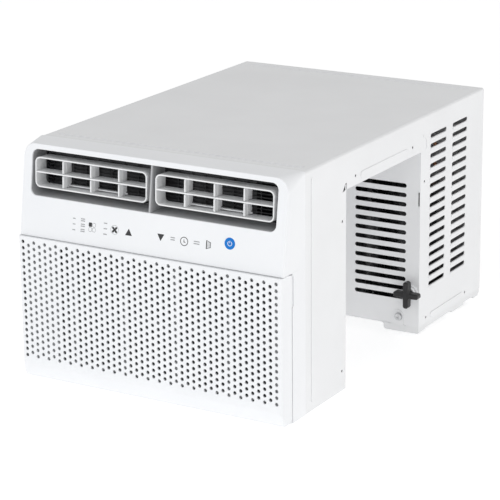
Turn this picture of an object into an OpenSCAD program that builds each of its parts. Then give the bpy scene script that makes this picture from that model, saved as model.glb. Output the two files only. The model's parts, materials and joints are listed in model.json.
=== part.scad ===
// Over-the-sill room air conditioner: an indoor section, a bridge that sits on the sill and an
// outdoor section. X runs across the width, Y from the room side to the outdoor side, Z up.
// Depths are measured back from the front plane, and place() moves them to the part's centre.

/* [Overall] */
// Width across the front bezel
width = 480; // [470:1:500]
// Depth from the front panel to the rear panel
depth = 712; // [700:1:740]
// Height from the indoor base to the top beads
height = 386; // [384:1:392]
// Thickness of the sheet metal
sheet = 1.2; // [0.8:0.1:1.5]

/* [Indoor section] */
// Depth of the front bezel
bezel_depth = 72; // [70:1:76]
// Depth of the indoor section, front plane to room wall
indoor_depth = 204; // [202:1:208]
// Height of the seam between the front panel and the control face
seam_z = 239; // [238:0.5:241]
// Setback of the control face at the seam
face_step = 5.5; // [5:0.5:6.5]
// Setback of the control face at the top
face_top_step = 26.5; // [25:0.5:28]
// Wall of the moulded plastic parts
wall = 2.4; // [2:0.1:2.6]

/* [Outdoor section] */
// Depth at which the outdoor section starts
outdoor_front = 466; // [462:1:468]
// Height of the underside of the bridge
bridge_z = 326; // [322:1:328]
// Height of the lower edge of the outdoor side sheets
side_bottom = 22; // [21:0.5:23]
// Height of the feet of the outdoor pan
foot_z = 10; // [8:0.5:12]

/* [Intake grille] */
// Diameter of the intake holes
hole_d = 6; // [5:0.1:6.4]
// Hole pitch across
hole_dx = 10.46; // [10:0.01:10.5]
// Hole pitch up
hole_dz = 10.55; // [10:0.01:10.6]
// Columns of holes
hole_columns = 45; // [21:2:45]
// Holes in the taller columns
hole_rows = 19; // [9:1:19]

/* [Air outlet] */
// Width of the outlet across both cells
outlet_w = 444; // [440:1:446]
// Lower edge of the outlet
outlet_z0 = 303.5; // [303:0.5:305]
// Upper edge of the outlet
outlet_z1 = 376.5; // [375:0.5:377]
// Width of one pivoting vent frame
vent_w = 208; // [200:1:209]
// Height of one pivoting vent frame
vent_h = 48.4; // [44:0.2:49]
// Depth of one pivoting vent frame
vent_d = 26; // [24:1:27]
// Pitch between the upright vanes
vane_pitch = 52; // [45:1:54]

/* [Side louvres and wall slots] */
// Rows of side louvres
louvre_rows = 16; // [8:1:16]
// Pitch between the louvre rows
louvre_pitch = 17.1; // [16:0.1:17.2]
// Rows of slots in the outdoor front wall
slot_rows = 13; // [6:1:13]
// Pitch between the slot rows
slot_pitch = 16.2; // [15:0.1:16.3]

/* [Wall screws] */
// Distance of each wall screw from the centre
screw_x = 224; // [218:1:224]
// Height of the wall screws
screw_z = 82; // [78:1:90]
// Span of the four-armed knob
knob_span = 46; // [40:1:46]

/* [Hidden] */

$fn = 32;
bite = 1;                                    // how far a cutting solid runs past a face
cab_half = width / 2 - 1;                    // outer face of the side sheets
cab_top = height - 1;                        // outer face of the top sheet
inside = cab_half - sheet;                   // inner face of the side sheets
rear_face = depth - 2.2;                     // outer face of the rear panel, inside the side sheets
pan_floor = side_bottom - sheet;             // underside of the outdoor pan
pan_rim = side_bottom - 8;                   // lower edge of the rim under the side sheets
flange = 8;                                  // height of the folded edges of the bridge pan
fit = 0.05;                                  // radial clearance of a running fit
panel_gap = 0.3;                             // gap between neighbouring covers

// control face
face_rise = height - seam_z;
face_tilt = atan((face_top_step - face_step) / face_rise);
face_len = face_rise / cos(face_tilt);
face_corner = 22;

// front panel
panel_top = seam_z - 1;
panel_back = 31.5;
panel_pivot = [14, 9.2];
panel_pin_r = 2.5;
chamfer_z = 24;
chamfer_d = 8.2;
lug_x = 227;
lug_t = 6;

// outlet and vents
outlet_r = 11;
duct_wall = 2;
duct_back = 64;
mullion = 3;
cell_w = (outlet_w - mullion) / 2;
vent_x = mullion / 2 + cell_w / 2;
vent_pivot = [34.3, 340];
vent_tilt = 3;
vent_wall = 2;
vent_corner = 9;
vent_pin_r = 2.5;
vane_y = -3;
vane_pin_r = 1.5;
vane_t = 2.2;
link_reach = 10;
link_pin_r = 1.2;
link_z = -19.3;

// blower
blower_axis = [135, 262];
blower_r = 50;
blower_x0 = -205;
blower_x1 = 155;
shaft_r = 3;

// outdoor fan
fan_axis = [-45, 195];
fan_r = 120;
fan_shaft_r = 4;

// screwed wall supports
stud_r = 4;
bush_front = 458.5;
knob_front = 444;
knob_back = 456.5;
washer_t = 1.2;

// power cord outlet, low on the left side sheet
cord_place = [150, 60];
cord_r = 4.5;
gland_r = 8;

// side holes, as [depth, height, radius]
side_holes = [
    [235, 341, 2.25], [435, 341, 2.25], [192, 278, 2.25], [192, 33, 2.25],
    [481, 273, 2.25], [494, 32, 2.25], [649, 32, 2.25]
];
louvre_top = 345.5;
louvre_h = 7;
louvre_spans = [[502, 563], [587, 645]];
slot_top = 265.5;
slot_h = 7.6;
slot_span = [118, 213.7];
white = [0.90, 0.91, 0.93];
grey = [0.78, 0.79, 0.80];
dark = [0.10, 0.10, 0.11];
steel = [0.62, 0.63, 0.65];
copper = [0.72, 0.43, 0.25];

// ---------- frames and outlines ----------

// Moves depths measured from the front plane to the part's own frame
module place() {
    translate([0, -depth / 2, 0]) children();
}

// Extrudes a depth-height outline across the width
module across(x0, x1) {
    translate([x0, 0, 0]) rotate([90, 0, 90]) linear_extrude(x1 - x0) children();
}

// Extrudes a width-height outline from one depth to another
module along(d0, d1) {
    translate([0, d1, 0]) rotate([90, 0, 0]) linear_extrude(d1 - d0) children();
}

// Extrudes a plan outline upwards
module upright(z0, z1) {
    translate([0, 0, z0]) linear_extrude(z1 - z0) children();
}

// Puts children on the control face: y runs up the face and z stands out of it
module on_face() {
    translate([0, face_step, seam_z]) rotate([90 - face_tilt, 0, 0]) children();
}

module both_sides() {
    children();
    mirror([1, 0, 0]) children();
}

// Rectangle between two corners with round corners
module rounded(x0, x1, y0, y1, r) {
    translate([x0 + r, y0]) square([x1 - x0 - 2 * r, y1 - y0]);
    translate([x0, y0 + r]) square([x1 - x0, y1 - y0 - 2 * r]);
    for (x = [x0 + r, x1 - r], y = [y0 + r, y1 - r]) translate([x, y]) circle(r);
}

module box_2d(x0, x1, y0, y1) {
    translate([x0, y0]) square([x1 - x0, y1 - y0]);
}

// Round-ended strip lying between two points of one row
module strip(x0, x1, y, w) {
    rounded(x0, x1, y - w / 2, y + w / 2, w / 2 - 0.01);
}

// A tube of straight runs with ball corners
module tube_run(points, r) {
    for (i = [0:len(points) - 2]) {
        run = points[i + 1] - points[i];
        pitch = acos(run.z / norm(run));
        translate(points[i]) rotate([0, pitch, atan2(run.y, run.x)]) cylinder(r=r, h=norm(run));
        if (i > 0) translate(points[i]) sphere(r);
    }
}

// ---------- sheet-metal cabinet ----------

module louvre_rows_2d(drop, h) {
    for (span = louvre_spans, i = [0:louvre_rows - 1])
        strip(span[0], span[1], louvre_top - i * louvre_pitch - drop, h);
}

module side_outline() {
    d0 = bezel_depth + panel_gap;
    difference() {
        polygon([
            [d0, 0], [indoor_depth, 0], [indoor_depth, bridge_z], [outdoor_front, bridge_z],
            [outdoor_front, side_bottom], [depth, side_bottom], [depth, cab_top], [d0, cab_top]
        ]);
        louvre_rows_2d(0, louvre_h);
        for (h = side_holes) translate([h[0], h[1]]) circle(h[2]);
        polygon([[192, 324], [206, 326.5], [206, 337], [201, 336]]);
    }
}

module wrap_section() {
    difference() {
        rounded(-cab_half, cab_half, -50, cab_top, 4);
        rounded(-inside, inside, -60, cab_top - sheet, 4 - sheet);
    }
}

module side_relief() {
    louvre_rows_2d(louvre_h - 1, 4);
    strip(252, 417, 338, 11);
    strip(510, 638, 31, 10);
    // curved rib over the corner joint of the outdoor section
    translate([474, 339]) intersection() {
        difference() {
            circle(13);
            circle(11);
        }
        square(13);
    }
    box_2d(485, 487, 326, 339);
    rounded(91.5, 97.5, 14, 371, 2.9);
}

module cabinet_shell() {
    color(white) place() {
        difference() {
            intersection() {
                across(-cab_half, cab_half) side_outline();
                along(0, depth) wrap_section();
            }
            across(-cab_half - bite, -inside + bite) translate(cord_place) circle(gland_r + 0.2);
        }
        both_sides() across(cab_half, width / 2) side_relief();
        upright(cab_top, height) {
            rounded(-223, 223, 94, 102, 3.9);
            rounded(-216, 216, 692, 703, 5.4);
        }
    }
}

module window_wall() {
    color(white) place() {
        along(outdoor_front, outdoor_front + sheet) difference() {
            box_2d(-inside, inside, side_bottom, bridge_z + flange);
            both_sides() box_2d(inside - 2.4, inside + bite, 233, 257);
            for (s = [-1, 1], i = [0:slot_rows - 1]) {
                ends = s > 0 ? slot_span : [-slot_span[1], -slot_span[0]];
                strip(ends[0], ends[1], slot_top - i * slot_pitch, slot_h);
            }
            for (s = [-1, 1]) translate([s * screw_x, screw_z]) circle(stud_r + 1);
            translate([202, 36]) circle(3.1);
        }
        along(outdoor_front - 1, outdoor_front) difference() {
            rounded(189, 211, -20, 48, 10.9);
            box_2d(180, 220, -30, side_bottom);
            translate([202, 36]) circle(3.1);
        }
    }
}

module room_wall() {
    color(white) place() along(indoor_depth - sheet, indoor_depth)
        box_2d(-inside, inside, sheet, bridge_z + flange);
}

module bridge_pan() {
    color(white) place() {
        upright(bridge_z, bridge_z + sheet)
            box_2d(-inside, inside, indoor_depth, outdoor_front);
        for (d = [indoor_depth, outdoor_front - sheet])
            upright(bridge_z, bridge_z + flange) box_2d(-inside, inside, d, d + sheet);
    }
}

// An open tray between two corners of the plan
module tray(x, d0, d1, z0, z1) {
    difference() {
        translate([-x, d0, z0]) cube([2 * x, d1 - d0, z1 - z0]);
        translate([-x + sheet, d0 + sheet, z0 + sheet])
            cube([2 * (x - sheet), d1 - d0 - 2 * sheet, z1 - z0]);
    }
}

module indoor_pan() {
    color(grey) place() tray(inside, bezel_depth + 6, indoor_depth - sheet, 0, 20);
}

module pan_foot(x0, x1, d0, d1) {
    translate([x0, d0, foot_z]) cube([x1 - x0, d1 - d0, pan_rim - foot_z]);
}

// Front foot: round corners, a concave root on its inner side and a score line at the corner joint
module front_foot() {
    x0 = 174;
    r = 5;
    along(outdoor_front - 1, 492) {
        rounded(x0, 215.4, foot_z, side_bottom, r);
        box_2d(x0 + r, 215.4, foot_z, side_bottom);
        box_2d(x0, x0 + r, side_bottom - r, side_bottom);
        difference() {
            box_2d(x0 - r, x0 + 0.1, side_bottom - r, side_bottom);
            translate([x0 - r, side_bottom - r]) circle(r);
        }
    }
    along(outdoor_front + 1, 492) box_2d(215, 217, foot_z, side_bottom);
    along(outdoor_front, 492) {
        rounded(216.4, cab_half, foot_z, side_bottom, 3);
        box_2d(216.4, cab_half, foot_z + 4, side_bottom);
    }
}

module outdoor_pan() {
    color(grey) place() {
        tray(inside, outdoor_front + sheet, rear_face - sheet, pan_floor, 28);
        difference() {
            upright(pan_rim, side_bottom) box_2d(-cab_half, cab_half, outdoor_front, rear_face);
            upright(pan_rim - bite, side_bottom + bite) {
                box_2d(-inside + bite, inside - bite, outdoor_front + sheet + bite,
                       rear_face - sheet - bite);
                box_2d(-174, 174, outdoor_front - bite, outdoor_front + sheet + 2 * bite);
            }
        }
        both_sides() {
            front_foot();
            pan_foot(178, cab_half, 686, 706);
            pan_foot(210, cab_half, 597, 645);
        }
    }
}

module rear_panel() {
    color(white) place() along(rear_face - sheet, rear_face) difference() {
        rounded(-inside, inside, side_bottom, cab_top - sheet - 0.2, 3);
        rounded(-215, 140, 48, 350, 8);
        for (x = [-228, 228], z = [60, 200, 340]) translate([x, z]) circle(2.1);
        for (x = [-120, 0, 120]) translate([x, 372]) circle(2.1);
    }
}

module coil_guard() {
    step_x = 25;
    step_z = 12.2;
    color(dark) place() along(rear_face - sheet - 3.5, rear_face - sheet) difference() {
        rounded(-221, 146, 42, 356, 10);
        for (x = [0:13], z = [0:23])
            rounded(-212 + x * step_x, -212 + x * step_x + step_x - 3,
                    50 + z * step_z, 50 + z * step_z + step_z - 2.5, 1);
    }
}

// ---------- front bezel and outlet ----------

// Control face with round upper corners, drawn from its lower edge
module face_shape(inset) {
    half = width / 2 - 0.5 - inset;
    r = face_corner - inset;
    rounded(-half, half, face_len / 2, face_len - inset, r);
    box_2d(-half, half, 0, face_len / 2 + r);
}

module bezel_block(inset) {
    half = width / 2 - inset;
    skin = 0.1;
    hull() {
        on_face() translate([0, 0, -skin - inset]) linear_extrude(skin) face_shape(inset + 1.6);
        on_face() translate([0, 0, -2.6 - inset]) linear_extrude(skin) face_shape(inset);
        along(bezel_depth - skin + (inset > 0 ? bite : 0), bezel_depth + (inset > 0 ? bite : 0)) {
            rounded(-half, half, seam_z + 60, height - inset, 4);
            box_2d(-half, half, seam_z, seam_z + 80);
        }
    }
}

module outlet_2d(grow) {
    rounded(-outlet_w / 2 - grow, outlet_w / 2 + grow, outlet_z0 - grow, outlet_z1 + grow,
            outlet_r + grow);
}

module hinge_lug() {
    p = panel_pivot;
    across(lug_x - lug_t / 2, lug_x + lug_t / 2) difference() {
        union() {
            translate(p) circle(4.5);
            box_2d(p[0], panel_back + 2, p[1] - 4.5, p[1] + 4.5);
        }
        translate(p) circle(panel_pin_r + fit);
    }
}

module front_bezel() {
    frame_d = panel_back + 1;
    half = width / 2;
    color(white) place() {
        difference() {
            bezel_block(0);
            difference() {
                bezel_block(wall);
                translate([-half, 0, seam_z - bite]) cube([width, 90, wall + bite]);
            }
            along(0, 45) outlet_2d(0);
            translate([-215, face_step + 12, seam_z - bite]) cube([430, 60, wall + 2 * bite]);
            on_face() translate([145, 38.5, -0.6]) cylinder(r=9.1, h=5);
        }
        difference() {
            along(frame_d, bezel_depth) box_2d(-half, half, 0, seam_z);
            along(frame_d - bite, bezel_depth + bite)
                box_2d(-half + 34, half - 34, 14, seam_z + bite);
            along(frame_d + wall, bezel_depth + bite)
                box_2d(-half + wall, half - wall, wall, seam_z + bite);
            both_sides() translate([half - 2.2, frame_d - bite, 187]) cube([5, 4.5, 47]);
        }
        both_sides() hinge_lug();
    }
}

module vent_duct() {
    color(grey) place() {
        difference() {
            along(0, duct_back) outlet_2d(duct_wall);
            along(-bite, duct_back + bite) outlet_2d(0);
            on_face() translate([-300, -200, -wall - 0.3]) cube([600, 400, 200]);
            for (x = [-outlet_w / 2 - duct_wall - bite, outlet_w / 2 - bite])
                across(x, x + duct_wall + 2 * bite) translate(vent_pivot)
                    circle(vent_pin_r + fit);
        }
        difference() {
            along(0, duct_back) box_2d(-mullion / 2, mullion / 2, outlet_z0 + 0.2, outlet_z1 - 0.2);
            on_face() translate([-300, -200, -0.4]) cube([600, 400, 200]);
            along(duct_back - 4, duct_back + bite) box_2d(-mullion, mullion, 290, 390);
            across(-mullion, mullion) translate(vent_pivot) circle(vent_pin_r + fit);
        }
        // the mullion's roots, behind the bezel skin
        for (z = [outlet_z0 - 0.1, outlet_z1 - 0.3])
            translate([-mullion / 2, 34, z]) cube([mullion, duct_back - 38, 0.4]);
    }
}

module vent_guard() {
    step_x = 24.4;
    step_z = 5.9;
    color(dark) place() along(duct_back - 3, duct_back - 1) difference() {
        outlet_2d(0);
        for (x = [-9:8], z = [0:11])
            box_2d(x * step_x + 0.8, (x + 1) * step_x - 0.8, outlet_z0 + 1.6 + z * step_z,
                   outlet_z0 + z * step_z + step_z + 0.2);
    }
}

// Moves a vent frame's own space, centred on its pivot, to its cell
module vent_place(side) {
    place() translate([side * vent_x, vent_pivot[0], vent_pivot[1]]) rotate([-vent_tilt, 0, 0])
        children();
}

module vent_frame(side) {
    inner_w = vent_w / 2 - vent_wall;
    inner_h = vent_h / 2 - vent_wall;
    reach = cell_w / 2 - vent_w / 2;
    color(white) vent_place(side) {
        difference() {
            union() {
                along(-vent_d / 2, vent_d / 2) difference() {
                    rounded(-vent_w / 2, vent_w / 2, -vent_h / 2, vent_h / 2, vent_corner);
                    rounded(-inner_w, inner_w, -inner_h, inner_h, vent_corner - vent_wall);
                }
                translate([-inner_w - 0.5, -vent_d / 2 + 0.6, -1])
                    cube([2 * inner_w + 1, vent_d - 1.6, 2]);
            }
            for (i = [-1:1]) translate([i * vane_pitch, vane_y, -vent_h])
                cylinder(r=vane_pin_r + fit, h=2 * vent_h);
        }
        across(side * vent_w / 2 - (side > 0 ? 0 : reach + 1.8),
               side * vent_w / 2 + (side > 0 ? reach + 1.8 : 0)) circle(vent_pin_r);
        across(-side * vent_w / 2 - (side > 0 ? reach + 1.3 : 0),
               -side * vent_w / 2 + (side > 0 ? 0 : reach + 1.3)) circle(vent_pin_r);
    }
}

// One upright vane: two leaves on one pin, with arches where the pin shows
module vane_leaf(z0, z1) {
    across(-vane_t / 2, vane_t / 2) difference() {
        rounded(-vent_d / 2 + 1, vent_d / 2 - 3, z0, z1, 2);
        rounded(vane_y - 3, vane_y + 3, z0 - 6, z0 + 3, 2.9);
    }
}

module vane(side, index) {
    top = vent_h / 2 - vent_wall - 0.6;
    color(white) vent_place(side) translate([(index - 1) * vane_pitch, 0, 0]) {
        vane_leaf(1.6, top);
        difference() {
            vane_leaf(-top, -1.6);
            translate([-vane_t, vane_y + link_reach - 4, -top - bite])
                cube([2 * vane_t, 20, top + bite - 16.5]);
        }
        translate([0, vane_y, -vent_h / 2]) cylinder(r=vane_pin_r, h=vent_h + 0.3);
        translate([0, vane_y + link_reach, link_z - 1.2]) cylinder(r=link_pin_r, h=4.4);
    }
}

module vane_link(side) {
    color(white) vent_place(side) translate([0, vane_y + link_reach, link_z - 1])
        linear_extrude(2) difference() {
            rounded(-vane_pitch - 4, vane_pitch + 4, -2.4, 2.4, 2.3);
            for (i = [-1:1]) translate([i * vane_pitch, 0])
                circle(link_pin_r + (i < 0 ? fit : 0.2));
        }
}

module control_board() {
    color([0.1, 0.35, 0.2]) place() on_face() translate([0, 0, -wall - 8]) {
        translate([-165, 14, 0]) cube([330, 40, 1.6]);
        for (x = [-110, -103, -61, -35, 23, 65, 108, 145])
            translate([x, 32, 1.6]) cylinder(r=4, h=5.5);
        for (x = [-150, 158], y = [18, 50]) translate([x, y, 1.6]) cylinder(r=2.5, h=6.2);
    }
}

module power_key() {
    color([0, 0.42, 0.85]) place() on_face() translate([145, 38.5, -0.6])
        cylinder(r=9.1, h=0.8);
}

// ---------- front panel and filter ----------

module intake_holes() {
    x0 = -(hole_columns - 1) / 2 * hole_dx;
    z0 = 229.4;
    for (i = [0:hole_columns - 1], j = [0:hole_rows - 1 - i % 2])
        translate([x0 + i * hole_dx, z0 - (j + (i % 2) / 2) * hole_dz]) circle(hole_d / 2, $fn=16);
}

module panel_profile() {
    polygon([
        [0, chamfer_z], [0, panel_top], [18, panel_top], [panel_back, panel_top - 2],
        [panel_back, 8], [28, 2], [chamfer_d, 2]
    ]);
}

module panel_hollow() {
    back = panel_back + 5;
    polygon([
        [wall, chamfer_z + 0.5], [wall, panel_top - wall], [back, panel_top - wall],
        [back, wall + 2], [chamfer_d + 1.8, wall + 2]
    ]);
}

module front_grille() {
    half = width / 2 - 0.8;
    inner = half - wall;
    color(white) place() {
        difference() {
            intersection() {
                across(-half, half) panel_profile();
                upright(-bite, height) rounded(-half, half, 0, 60, 5);
            }
            across(-inner, inner) panel_hollow();
            along(-bite, wall + bite) intake_holes();
            both_sides() translate([lug_x - 4.5, 11.5, 0]) cube([9, 30, wall + 3]);
        }
        both_sides() {
            across(lug_x - lug_t / 2 - 2, inner + 0.5) translate(panel_pivot) circle(panel_pin_r);
            for (z = [32, 132, 230]) translate([inner - 2.4, wall - 0.2, z])
                cube([2.9, 1.8, 4]);
        }
    }
}

module filter_outline() {
    box_2d(-225, 236, 27, 234);
}

module filter_frame() {
    color(grey) place() along(4, 7) difference() {
        filter_outline();
        xs = [-169, -135.9, -41.7, 52.4, 146.6, 229];
        zs = [32, 40, 131, 230];
        for (i = [0:4], j = [0:2])
            box_2d(xs[i] + 2.5, xs[i + 1] - 2.5, zs[j] + 2, zs[j + 1] - 2);
    }
}

module filter_mesh() {
    color(dark) place() along(7, 7.8) box_2d(-172, 231, 30, 232);
}

// ---------- indoor air path ----------

module fin_pack(x0, x1, d0, d1, z0, z1) {
    translate([x0, d0, z0]) cube([x1 - x0, d1 - d0, z1 - z0]);
    for (x = [x0 - 1.2, x1]) translate([x, d0 - 1, z0 - 1]) cube([1.2, d1 - d0 + 2, z1 - z0 + 2]);
}

module return_bends(x, side, d, z0, pitch, count, r) {
    for (i = [0:count - 1]) translate([x, d, z0 + i * pitch]) rotate([90, 0, 0])
        rotate([0, 0, side > 0 ? -90 : 90]) rotate_extrude(angle=180)
            translate([pitch / 4, 0]) circle(r);
}

module evaporator_coil() {
    color(steel) place() fin_pack(-205, 190, 82, 108, 22, 200);
}

module evaporator_bends() {
    color(copper) place() {
        return_bends(191.2, 1, 95, 42, 36, 4, 3.5);
        return_bends(-206.2, -1, 95, 42, 36, 5, 3.5);
    }
}

module scroll_shape(grow) {
    translate(blower_axis) circle(blower_r + 8 + grow);
    rounded(60 - 3 * grow, 194 + grow, blower_axis[1], 380.5 + grow, 14 + grow);
}

module scroll_housing() {
    x0 = blower_x0 - 6;
    x1 = blower_x1 + 6;
    color(grey) place() {
        difference() {
            across(x0, x1) scroll_shape(0);
            across(x0 + 2, x1 - 2) scroll_shape(-2);
            across(x0 - bite, x1 + bite) translate(blower_axis) circle(9);
            translate([-300, 0, 150]) cube([600, 110, 148]);
            translate([-300, 0, 290]) cube([600, duct_back + 1, 110]);
        }
    }
}

module blower_wheel() {
    blades = 26;
    color(dark) place() {
        across(blower_x0, blower_x1) translate(blower_axis) for (i = [0:blades - 1])
            rotate(i * 360 / blades) translate([blower_r - 12, -0.7]) rotate(14)
                square([11, 1.4]);
        for (i = [0:4]) {
            x = blower_x0 + i * (blower_x1 - blower_x0 - 3) / 4;
            across(x, x + 3) translate(blower_axis) circle(blower_r);
        }
        across(blower_x0 - 11, 175) translate(blower_axis) circle(shaft_r);
    }
}

module blower_bearing() {
    color("black") place() across(blower_x0 - 12, blower_x0 - 6) translate(blower_axis)
        difference() {
            circle(12);
            circle(shaft_r + fit);
        }
}

module blower_motor() {
    color(steel) place() difference() {
        union() {
            across(168, 214) translate(blower_axis) circle(36);
            across(164, 168) translate(blower_axis) circle(14);
            translate([176, blower_axis[0] - 20, 222.5]) cube([30, 40, 12]);
        }
        across(160, 176) translate(blower_axis) circle(shaft_r + fit);
    }
}

module bridge_foam() {
    side = inside - 0.2;
    color([0.15, 0.15, 0.16]) place() {
        upright(bridge_z + sheet, bridge_z + sheet + 9)
            box_2d(-side, side, indoor_depth + sheet, outdoor_front - sheet);
        // plugs behind the corner reliefs of the side sheets
        both_sides() upright(320, 338) box_2d(side - 8, side, 188, indoor_depth - sheet);
    }
}

module suction_tube() {
    color(copper) place() tube_run([
        [191.2, 88, 190], [220, 88, 190], [220, 88, 356], [220, 505, 356], [220, 505, 268],
        [108, 505, 268], [108, 538, 268], [108, 538, 206.2]
    ], 5);
}

module liquid_tube() {
    color(copper) place() tube_run([
        [191.2, 101, 30], [229, 101, 30], [229, 101, 372], [229, 690, 372], [160, 690, 372],
        [160, 690, 330], [151.2, 690, 330]
    ], 3);
}

module room_sensor() {
    color("black") place() {
        translate([-150, 74, 170]) rotate([-90, 0, 0]) cylinder(r=3, h=6.9);
        translate([-156, 80.9, 164]) cube([12, 1, 12]);
    }
}

// ---------- outdoor section ----------

module condenser_coil() {
    color(steel) place() fin_pack(-225, 150, 674, 702, 42, 350);
}

module condenser_bends() {
    color(copper) place() {
        return_bends(151.2, 1, 688, 62, 36, 7, 3.5);
    }
}

module fan_shroud() {
    color(dark) place() difference() {
        union() {
            along(652, 654) box_2d(-228, 150, 38, 362);
            along(625, 654) translate(fan_axis) circle(fan_r + 8);
            along(652, 671) difference() {
                box_2d(-228, 150, 38, 362);
                box_2d(-226, 148, 40, 360);
            }
        }
        along(620, 660) translate(fan_axis) circle(fan_r + 6);
    }
}

module condenser_fan() {
    blades = 5;
    hub_r = 24;
    color(dark) place() translate([fan_axis[0], 0, fan_axis[1]]) {
        difference() {
            along(622, 648) circle(hub_r);
            along(626, 649) circle(hub_r - 3);
        }
        along(604, 640) circle(fan_shaft_r);
        along(632, 642) difference() {
            circle(fan_r);
            circle(fan_r - 3);
        }
        intersection() {
            along(622, 648) difference() {
                circle(fan_r - 1);
                circle(hub_r - 1);
            }
            for (i = [0:blades - 1]) rotate([0, i * 360 / blades, 0])
                translate([0, 635, 0]) rotate([0, 0, 28]) translate([-36, -1, 0])
                    cube([72, 2, fan_r]);
        }
    }
}

module fan_motor() {
    color(steel) place() translate([fan_axis[0], 0, fan_axis[1]]) difference() {
        union() {
            along(540, 608) circle(44);
            along(608, 616) circle(14);
        }
        along(602, 620) circle(fan_shaft_r + fit);
    }
}

module motor_bracket() {
    half = 32;
    floor_z = pan_floor + sheet;
    color(steel) place() difference() {
        union() {
            translate([fan_axis[0] - half, 550, floor_z]) cube([2 * half, 48, 3]);
            for (d = [550, 595]) translate([fan_axis[0] - half, d, floor_z])
                cube([2 * half, 3, fan_axis[1] - floor_z - 20]);
        }
        along(540, 610) translate(fan_axis) circle(44.2);
    }
}

module compressor() {
    color([0.12, 0.12, 0.13]) place() translate([168, 590, 0]) {
        rotate_extrude() {
            box_2d(0, 52, 48, 226);
            box_2d(0, 42, 34, 240);
            for (z = [48, 226]) translate([42, z]) intersection() {
                circle(10);
                box_2d(0, 12, -14, 14);
            }
            box_2d(0, 14, 240, 250);
        }
        difference() {
            upright(30, 34) for (a = [90:120:330]) rotate(a) {
                translate([0, -16]) square([56, 32]);
                translate([56, 0]) circle(16);
            }
            for (a = [90:120:330]) rotate(a) translate([56, 0, 20]) cylinder(r=5, h=30);
        }
    }
}

module compressor_grommets() {
    floor_z = pan_floor + sheet;
    color("black") place() for (a = [90:120:330]) translate([168, 590, 0]) rotate(a)
        translate([56, 0, floor_z]) {
            cylinder(r=10, h=30 - floor_z);
            cylinder(r=4.9, h=36 - floor_z);
        }
}

module accumulator() {
    color([0.12, 0.12, 0.13]) place() translate([108, 538, 0]) rotate_extrude() {
        box_2d(0, 24, 80, 190);
        box_2d(0, 14, 70, 200);
        for (z = [80, 190]) translate([14, z]) intersection() {
            circle(10);
            box_2d(0, 12, -12, 12);
        }
        box_2d(0, 6, 200, 206);
        box_2d(0, 5, pan_floor + sheet, 70);
    }
}

module control_box() {
    color(steel) place() difference() {
        translate([-120, 480, 330]) cube([200, 60, 48]);
        translate([-118.5, 481.5, 331.5]) cube([197, 57, 48]);
    }
}

module capacitor() {
    color([0.85, 0.85, 0.86]) place() across(-60, 20) translate([510, 352]) circle(19);
}

// ---------- screwed wall supports and fasteners ----------

module wall_bush(side) {
    color(white) place() translate([side * screw_x, outdoor_front, screw_z])
        rotate([90, 0, 0]) difference() {
            union() {
                cylinder(r=13.5, h=4);
                cylinder(r=10, h=outdoor_front - bush_front);
            }
            translate([0, 0, -bite]) cylinder(r=stud_r + fit, h=20);
        }
}

module knob_washer(side) {
    color(steel) place() translate([side * screw_x, knob_back + panel_gap + washer_t, screw_z])
        rotate([90, 0, 0]) difference() {
            cylinder(r=9, h=washer_t);
            translate([0, 0, -bite]) cylinder(r=stud_r + fit, h=4);
        }
}

module wall_knob(side) {
    arm = knob_span / 2 - 5;
    color(dark) place() translate([side * screw_x, 0, screw_z]) difference() {
        union() {
            along(knob_front, knob_back) for (a = [0, 90]) rotate(a)
                strip(-arm - 5, arm + 5, 0, 10);
            along(knob_front, knob_back) circle(11);
        }
        along(knob_front + 6, knob_back + bite) circle(stud_r);
    }
}

module wall_stud(side) {
    color(steel) place() translate([side * screw_x, 0, screw_z])
        along(knob_front + 6, 496) circle(stud_r);
}

// Round-headed screw whose head stands on the origin plane, towards -Y
module screw(head_r, head_h, r, length) {
    rotate([90, 0, 0]) {
        difference() {
            cylinder(r=head_r, h=head_h);
            for (a = [0, 90]) rotate(a) translate([-head_r * 0.6, -0.6, head_h - 1.2])
                cube([head_r * 1.2, 1.2, 2]);
        }
        translate([0, 0, -length]) cylinder(r=r, h=length + 0.5);
    }
}

module ground_screw() {
    color(steel) place() translate([202, outdoor_front - 1, 36]) {
        screw(6.8, 3.6, 3, 12);
        rotate([90, 0, 0]) cylinder(r=7.4, h=1);
    }
}

module rear_screws() {
    color(steel) place() {
        for (x = [-228, 228], z = [60, 200, 340])
            translate([x, rear_face, z]) mirror([0, 1, 0]) screw(3.8, 2, 2, 6);
        for (x = [-120, 0, 120])
            translate([x, rear_face, 372]) mirror([0, 1, 0]) screw(3.8, 2, 2, 6);
    }
}

module cord_gland() {
    color("black") place() difference() {
        union() {
            across(-cab_half - 4, -cab_half) translate(cord_place) circle(gland_r + 4);
            across(-cab_half - 7.5, -cab_half) translate(cord_place) circle(gland_r + 1);
            across(-cab_half, -cab_half + 8) translate(cord_place) circle(gland_r);
        }
        across(-cab_half - 10, -cab_half + 10) translate(cord_place) circle(cord_r);
    }
}

cabinet_shell();
window_wall();
room_wall();
bridge_pan();
indoor_pan();
outdoor_pan();
rear_panel();
coil_guard();
front_bezel();
vent_duct();
vent_guard();
control_board();
power_key();
front_grille();
filter_frame();
filter_mesh();
vent_frame(-1);  // vent_frame_left
vent_frame(1);  // vent_frame_right
vane(-1, 0);  // vane_left_1
vane(-1, 1);  // vane_left_2
vane(-1, 2);  // vane_left_3
vane(1, 0);  // vane_right_1
vane(1, 1);  // vane_right_2
vane(1, 2);  // vane_right_3
vane_link(-1);  // vane_link_left
vane_link(1);  // vane_link_right
evaporator_coil();
evaporator_bends();
scroll_housing();
blower_wheel();
blower_bearing();
blower_motor();
bridge_foam();
suction_tube();
liquid_tube();
condenser_coil();
condenser_bends();
fan_shroud();
condenser_fan();
fan_motor();
motor_bracket();
compressor();
accumulator();
compressor_grommets();
control_box();
capacitor();
wall_bush(-1);  // wall_bush_left
wall_bush(1);  // wall_bush_right
knob_washer(-1);  // knob_washer_left
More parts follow.
